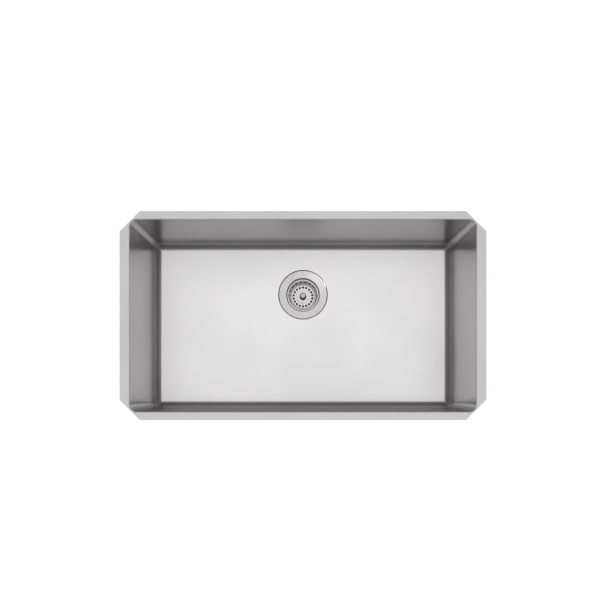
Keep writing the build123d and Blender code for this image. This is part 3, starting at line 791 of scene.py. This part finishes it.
# %% The strainer's body
CUP_RADIUS = 38.7
CUP_WALL = 27.0
CUP_SHEET = 1.2
DARK_BELOW = 3.0
SEAT_HEIGHT = -38.9
OUTLET = 20.5
THREAD_TOP, THREAD_BOTTOM = -9.0, -26.0
strainer_radius = from_drain("strainer_body")[0]
strainer_line = threaded(sheet_section([
    (strainer_radius, -RECESS_DEPTH, 0), (strainer_radius, 0.4, 1.6), (CUP_RADIUS, 0, 2.0),
    (CUP_RADIUS, -CUP_WALL, 4.0), (27.0, SEAT_HEIGHT, 0.8), (OUTLET, SEAT_HEIGHT, 0),
], CUP_SHEET), CUP_RADIUS + CUP_SHEET)
strainer = add_piece(turned("strainer_cup", strainer_line, 144), strainer_steel)
follow_rule(
    strainer, rolled_thread, Centre=tuple(drain), Pitch=2.0 * mm, Depth=0.25 * mm,
    Bottom=THREAD_BOTTOM * mm, Top=THREAD_TOP * mm, Bore=(CUP_RADIUS + 0.6) * mm, Material=strainer_steel,
)
# The inside of the cup below DARK_BELOW gets the near-black steel: painted shade.
strainer.data.materials.append(cup_shade_steel)
for face in strainer.data.polygons:
    outward = (face.center - drain).xy
    inside = outward.length / mm < CUP_RADIUS + 0.01 and face.normal.xy.dot(outward) <= 0
    if inside and face.center.z < drain.z - DARK_BELOW * mm:
        face.material_index = 1
hand_over(strainer, "root", "strainer_steel", "strainer_body")

# %% [markdown]
# The rolled edge of the strainer's flange catches one short white glint. Two narrow lamps a metre
# away make it. They are linked to this piece alone, and their light isn't passed on by any bounce,
# so the floor of the bowl around it keeps its even tone.

# %% The glint on the rolled edge
GLINT_PLACES = (41, 46)  # degrees round from +X
GLINT_HEIGHT = 32  # degrees above the floor
GLINT_POWER = 200
GLINT_WIDTH = 1.6  # degrees of the lamp's beam
GLINT_BEYOND = 3.0  # mm from the flange's edge to the middle of the beam
lit_by_glint = bpy.data.collections.new("lit_by_glint")
lit_by_glint.objects.link(strainer)
for place in GLINT_PLACES:
    data = bpy.data.lights.new("glint", "SPOT")
    data.energy = GLINT_POWER
    data.shadow_soft_size = 0.03
    data.spot_size = radians(GLINT_WIDTH)
    data.spot_blend = 0.5
    data.cycles.max_bounces = 0
    outward = Vector((cos(radians(place)), sin(radians(place)), 0))
    toward = outward * cos(radians(GLINT_HEIGHT)) + Vector((0, 0, sin(radians(GLINT_HEIGHT))))
    lamp = placed("glint", data)
    lamp.location = drain + outward * (strainer_radius + GLINT_BEYOND) * mm + toward
    lamp.rotation_euler = toward.to_track_quat("Z", "Y").to_euler()
    lamp.light_linking.receiver_collection = lit_by_glint
    lamp.light_linking.blocker_collection = lit_by_glint
    print("glint lamp at", [round(v, 3) for v in lamp.location], "m")

# %% [markdown]
# The basket is the piece that a hand lifts out: a drawn cup of thin sheet, punched with eighteen
# round holes in its floor and eighteen slots in its side, half a step further round. One sector is
# enough. It is laid out flat, as a length along the section against an angle, and its middle
# shifts by half a step between the two rings, so that neither a hole nor a slot is cut by its
# border. Round each opening the faces run from its outline to the sector's border, and Geometry
# Nodes repeat the sector.

# %% The basket's section
PERFORATIONS = 18
HALF_SECTOR = pi / PERFORATIONS
BEAD_HEIGHT, BEAD_RADIUS = -8.0, 1.1
BEAD_CIRCLE = from_drain("basket")[0] - BEAD_RADIUS
BASKET_FLOOR, BASKET_BOSS = -33.5, -32.3
basket_line = bent_line([
    (4.4, BASKET_BOSS, 0), (15.5, BASKET_BOSS, 0.3), (16.7, BASKET_FLOOR, 0.3),
    (28.8, BASKET_FLOOR, 2.5), (BEAD_CIRCLE, BEAD_HEIGHT, 0),
])
run = [0.0]
for a, b in zip(basket_line, basket_line[1:]):
    run.append(run[-1] + (b - a).length)
across_line, up_line = zip(*basket_line)
print("the basket's section is", round(run[-1], 1), "mm long")

# %% The openings
HOLE_RING = 22.9
HOLE_SIZE = 5.6
SLOT_ACROSS, SLOT_UP = 7.0, 8.0
HOLE_REACH, SLOT_REACH = 3.4, 5.2  # half the length of the patch of faces round an opening
COLUMNS, ROWS = 10, 8
hole_run = np.interp(HOLE_RING, across_line, run)
slot_run = np.interp((BASKET_FLOOR + BEAD_HEIGHT) / 2, up_line[-3:], run[-3:])


def on_basket(length, turn):
    """A point of the basket's upper face in metres, at a length along the section in mm."""
    middle_turn = np.interp(length, (hole_run + HOLE_REACH, slot_run - SLOT_REACH), (0, HALF_SECTOR))
    radius, height = np.interp(length, run, across_line), np.interp(length, run, up_line)
    return round_drain(radius, height, pi / 2 + turn + middle_turn)


def outline_point(side, up, across, tall):
    """Where a ray from the middle meets the outline of a slot that is at least as tall as wide."""
    side, up = side * across / 2, up * tall / 2
    straight = (tall - across) / 2
    if side and abs(up * across / 2 / side) <= straight:
        return side * across / 2 / abs(side), up * across / 2 / abs(side)
    square = side * side + up * up
    part = abs(up) * straight
    scale = (part + sqrt(part * part - square * (straight ** 2 - (across / 2) ** 2))) / square
    return side * scale, up * scale


def pierced(middle, reach, across, tall):
    """Rings of points from an opening's outline out to the sector's border, as (length, turn)."""
    bottom = [(2 * i / COLUMNS - 1, -1.0) for i in range(COLUMNS)]
    right = [(1.0, 2 * i / ROWS - 1) for i in range(ROWS)]
    border = bottom + right + [(-a, -b) for a, b in bottom + right]
    radius = np.interp(middle, run, across_line)
    loops = []
    for part in (0.0, 0.28, 0.62, 1.0):
        loop = []
        for side, up in border:
            a, b = outline_point(side, up, across, tall)
            turn = part * side * HALF_SECTOR + (1 - part) * a / radius
            loop.append((middle + part * up * reach + (1 - part) * b, turn))
        loops.append(loop)
    return loops


# %% One sector of the basket
patches = (
    (hole_run, HOLE_REACH, HOLE_SIZE, HOLE_SIZE),
    (slot_run, SLOT_REACH, SLOT_ACROSS, SLOT_UP),
)
patch_ends = {middle + way * reach for middle, reach, *size in patches for way in (-1, 1)}
sector_draft = bmesh.new()


def add_loops(loops, closed):
    """Faces between neighbouring loops of the sector's points."""
    rows = [[sector_draft.verts.new(on_basket(*p)) for p in loop] for loop in loops]
    for lower, upper in zip(rows, rows[1:]):
        for i in range(len(lower) if closed else len(lower) - 1):
            j = (i + 1) % len(lower)
            second, last = (lower[j], upper[i]) if closed else (upper[i], lower[j])
            sector_draft.faces.new((lower[i], second, upper[j], last))


ends = sorted({round(length, 4) for length in run} | patch_ends)
turns = [HALF_SECTOR * (2 * i / COLUMNS - 1) for i in range(COLUMNS + 1)]
for low, high in zip(ends, ends[1:]):
    if not any(abs((low + high) / 2 - middle) < reach for middle, reach, *size in patches):
        steps = ceil((high - low) / 3.5)
        lengths = [low + (high - low) * i / steps for i in range(steps + 1)]
        add_loops([[(length, turn) for turn in turns] for length in lengths], closed=False)
for patch in patches:
    add_loops(pierced(*patch), closed=True)
basket = add_piece(fixed("basket_sheet", sector_draft), basket_steel)
print("one sector has", len(basket.data.polygons), "faces")
drain_foot = (drain.x, drain.y, 0.0)
follow_rule(basket, polar_array, Count=PERFORATIONS, Centre=drain_foot, Material=basket_steel)

# %% [markdown]
# The sheet then gets its thickness on the outside, which also gives each opening its walls, and a
# fine rounding where the punch came through. Last comes the rim, which is rolled into a bead and
# painted near white and matt, as a painted highlight.

# %% The basket, finished
def softened(piece, width, segments=2):
    """The piece with its sharp edges rounded."""
    edges = piece.modifiers.new("soft_edges", "BEVEL")
    edges.width = width * mm
    edges.segments = segments
    edges.angle_limit = radians(35)
    return worked(piece)


def joined(name, *meshes):
    """One mesh that holds several."""
    whole = bmesh.new()
    for mesh in meshes:
        whole.from_mesh(mesh)
    return fixed(name, whole)


thickness = basket.modifiers.new("thickness", "SOLIDIFY")
thickness.thickness = 0.8 * mm
thickness.offset = -1
thickness.use_even_offset = True
worked(basket)
softened(basket, 0.12)
bead = turned("rim_bead", arc((BEAD_CIRCLE, BEAD_HEIGHT), BEAD_RADIUS, 0, 4, 16)[:-1], 144)
# The bead gets the near-white steel: painted highlight.
for face in bead.polygons:
    face.material_index = 1
basket.data = joined(basket.name, basket.data, bead)
for steel in (basket_steel, bead_highlight_steel):
    basket.data.materials.append(steel)
hand_over(basket, "basket_cup", "basket_steel", "basket")

# %% [markdown]
# The knob is turned and polished from bar, and its stem runs down through the stopper. The stem
# has a slot for the spring clip, which is cut by a Boolean with a plain block. Only the knob's
# head keeps the bright steel. Its flank and the collar at its foot are painted near black, as
# painted shade where they look into the cup.

# %% The knob and its stem
HEAD_LEVEL = 0.86  # a face of the head that is steeper than this belongs to the flank
FLANK_FOOT = 17.2
COLLAR = (29.3, 32.1)
CLIP_SLOT_MIDDLE, CLIP_SLOT_SIZE = (0, 0, -51.5), (10, 2.2, 7.2)


def block_mesh(name, middle, size):
    """A plain block, in mm from the drain's middle line on the bowl's floor."""
    draft = bmesh.new()
    stretch = Matrix.Diagonal((*(side * mm for side in size), 1))
    bmesh.ops.create_cube(draft, size=1, matrix=Matrix.Translation(drain + Vector(middle) * mm) @ stretch)
    return fixed(name, draft)


stem_tip = from_drain("knob_post")[1]
knob_line = bent_line([
    (0, -10.0, 0), (7.0, -10.0, 3.6), (7.0, -15.4, 1.2), (5.4, -17.0, 1.6), (5.4, -29.0, 1.2),
    (8.0, -30.4, 0.4), (8.0, -32.0, 0.3), (4.0, -32.0, 0.2), (4.0, -39.6, 0.2), (3.0, -39.6, 0.1),
    (3.0, stem_tip, 0.6), (0, stem_tip, 0),
])
knob = add_piece(turned("knob_and_stem", knob_line, 72, closed=False), knob_steel)
block = add_piece(block_mesh("clip_slot", CLIP_SLOT_MIDDLE, CLIP_SLOT_SIZE), knob_steel)
slot_cut = knob.modifiers.new("clip_slot", "BOOLEAN")
slot_cut.operation = "DIFFERENCE"
slot_cut.solver = "EXACT"
slot_cut.object = block
worked(knob)
bpy.data.objects.remove(block)
# The flank and the collar get the near-black steel: painted shade.
knob.data.materials.append(knob_shade_steel)
for face in knob.data.polygons:
    below = (drain.z - face.center.z) / mm
    flank = face.normal.z < HEAD_LEVEL and below < FLANK_FOOT
    if flank or COLLAR[0] < below < COLLAR[1]:
        face.material_index = 1
hand_over(knob, "stopper_stem", "knob_steel", "knob_post")

# %% [markdown]
# The stopper group and the rings that clamp the strainer are simple rings. Each takes its outer
# radius and its heights from its CAD node, and only the bore has to be said.

# %% Rings
CUP_BORE = 40.8
STEM_BORE = 4.1
TUBE_BORE = 18.05


def ring_section(bore, radius, underside, top, edge, undercut=0.0):
    """The section of a flat ring with rounded edges. An undercut takes off its lower outer corner."""
    corners = [(bore, underside, edge), (radius, underside, edge), (radius, top, edge), (bore, top, edge)]
    if undercut:
        corners[1:2] = [(radius - undercut, underside, edge * 2), (radius, underside + undercut, edge * 2)]
    return bent_line(corners, closed=True, turn=radians(20 if undercut else 30))


for name, node, material, body, slot, bore, *edges in (
    ("seal_ring", "flange_seal", seal_rubber, "root", "seal_rubber", 46.0, 0.3),
    ("gasket_ring", "under_gasket", gasket_rubber, "root", "gasket_rubber", CUP_BORE, 0.6),
    ("card_ring", "friction_ring", friction_card, "root", "friction_card", CUP_BORE, 0.1),
    ("tube_washer", "tailpiece_washer", washer_plastic, "root", "washer_plastic", TUBE_BORE, 0.4),
    ("upper_disc", "backing_washer", small_steel, "stopper_stem", "small_steel", STEM_BORE, 0.25),
    ("stopper_disc", "stopper_washer", stopper_rubber, "stopper_stem", "stopper_rubber", STEM_BORE, 0.4, 1.2),
    ("lower_disc", "clamp_washer", small_steel, "stopper_stem", "small_steel", STEM_BORE, 0.2),
):
    line = ring_section(bore, *from_drain(node), *edges)
    hand_over(add_piece(turned(name, line), material), body, slot, node)

# %% [markdown]
# Nuts and the clip keep the shape of their CAD nodes. A CAD mesh is loose triangles with knife
# edges, so a copy is merged, its flat faces are joined, and its edges are rounded by a bevel.

# %% Locknut, coupling nut, stem nut and clip
def cad_piece(name, node, material, width):
    """A copy of a CAD node's mesh with its loose triangles merged and its edges softened."""
    draft = bmesh.new()
    draft.from_mesh(bpy.data.objects[node].data)
    bmesh.ops.remove_doubles(draft, verts=draft.verts, dist=0.001 * mm)
    bmesh.ops.dissolve_limit(draft, angle_limit=radians(1), verts=draft.verts, edges=draft.edges)
    return softened(add_piece(fixed(name, draft), material), width)


for name, node, material, body, slot, width in (
    ("locknut_casting", "locknut", cast_brass, "root", "cast_brass", 0.5),
    ("coupling_hexagon", "coupling_nut", plated_nut, "root", "plated_nut", 0.5),
    ("stem_hexagon", "stem_nut", small_steel, "stopper_stem", "small_steel", 0.3),
    ("spring_loop", "stem_clip", small_steel, "stopper_stem", "small_steel", 0.1),
):
    hand_over(cad_piece(name, node, material, width), body, slot, node)

# %% [markdown]
# The outlet spud is cast brass with a coarse thread outside. Inside it a spider of four arms holds
# the hub that the stem's clip snaps through. One arm is modelled and repeated round the middle.

# %% Outlet spud
SPUD_RADIUS, SPUD_TOP, SPUD_END = 23.9, -40.1, -60.0
LIP_RADIUS, LIP_END = 25.5, SPUD_TOP - 1.5
SPUD_THREAD_TOP, SPUD_THREAD_END = -43.0, -59.5
ARM_START, ARM_END, ARM_WIDTH = 7.5, 21.7, 2.5
HUB_BORE, HUB_RADIUS = 5.2, 8.0
SPIDER_TOP, SPIDER_END = -47.0, -50.0
spud_line = threaded(bent_line([
    (OUTLET, SPUD_TOP, 0.2), (LIP_RADIUS, SPUD_TOP, 0.2), (LIP_RADIUS, LIP_END, 0.3),
    (SPUD_RADIUS, LIP_END, 0), (SPUD_RADIUS, SPUD_END, 0.6), (OUTLET, SPUD_END, 0.3),
][::-1], closed=True), SPUD_RADIUS)
spud = add_piece(turned("spud_casting", spud_line), cast_brass)
follow_rule(
    spud, rolled_thread, Centre=tuple(drain), Pitch=2.2 * mm, Depth=0.3 * mm,
    Bottom=SPUD_THREAD_END * mm, Top=SPUD_THREAD_TOP * mm, Bore=(OUTLET + 1.0) * mm, Material=cast_brass,
)
arm_middle = ((ARM_START + ARM_END) / 2, 0, (SPIDER_TOP + SPIDER_END) / 2)
arm_mesh = block_mesh("spider", arm_middle, (ARM_END - ARM_START, ARM_WIDTH, SPIDER_TOP - SPIDER_END))
spider = softened(add_piece(arm_mesh, cast_brass), 0.5, segments=3)
follow_rule(spider, polar_array, Count=4, Centre=drain_foot, Material=cast_brass)
hub = turned("spider_hub", ring_section(HUB_BORE, HUB_RADIUS, SPIDER_END, SPIDER_TOP, 0.5), 48)
spud.data = joined(spud.name, spud.data, spider.data, hub)
spud.data.materials.append(cast_brass)
bpy.data.objects.remove(spider)
hand_over(spud, "root", "cast_brass", "outlet_spud")

# %% [markdown]
# The tailpiece is a thin plated tube whose top edge is turned out to a flange, which the coupling
# nut draws up against its washer.

# %% Tailpiece
TUBE_FLANGE = 23.0
TUBE_WALL = 1.0
tail_end, tail_top = from_drain("tailpiece")[1:]
tube_line = sheet_section([
    (TUBE_FLANGE, tail_top, 0), (TUBE_BORE, tail_top, 0.8), (TUBE_BORE, tail_end, 0)
], TUBE_WALL)
tube = add_piece(turned("plated_tube", tube_line), plated_tube)
hand_over(softened(tube, 0.15), "root", "plated_tube", "tailpiece")

# %% [markdown]
# Six rubber pads are glued to the outside of the bowl, so that running water doesn't drum on it.
# Each is a slab with rounded corners whose outer edge is rolled over, and it fills its CAD node.

# %% Sound pads
PAD_CORNER = 10.0 * mm
PAD_EDGE = 1.0 * mm


def pad_mesh(name, low, high):
    """A slab with rounded corners, rolled over on the face that looks away from the bowl."""
    size, middle = high - low, (low + high) / 2
    thin = min(range(3), key=lambda axis: size[axis])
    across, upright = [axis for axis in range(3) if axis != thin]
    outward = -1 if middle[thin] < (floor_top if thin == 2 else 0) else 1
    half_u, half_v = size[across] / 2 - PAD_CORNER, size[upright] / 2 - PAD_CORNER
    rings = []
    for inset, height in [(0, 0)] + arc((PAD_EDGE, size[thin] - PAD_EDGE), PAD_EDGE, 2, 1, 4):
        ring = []
        for u, v in chain(*rounded_corners(half_u, half_v, PAD_CORNER - inset, 8)):
            point = middle.copy()
            point[thin] += outward * (height - size[thin] / 2)
            point[across] += u
            point[upright] += v
            ring.append(point)
        rings.append(ring)
    return ring_skin(name, [rings[0]] + rings + [rings[-1]], closed_section=False)


for side in ("front", "back", "left", "right", "bottom_left", "bottom_right"):
    node = "sound_pad_" + side
    pad = add_piece(pad_mesh("rubber_pad_" + side, *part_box(node)), pad_rubber)
    hand_over(pad, "root", "pad_rubber", node)
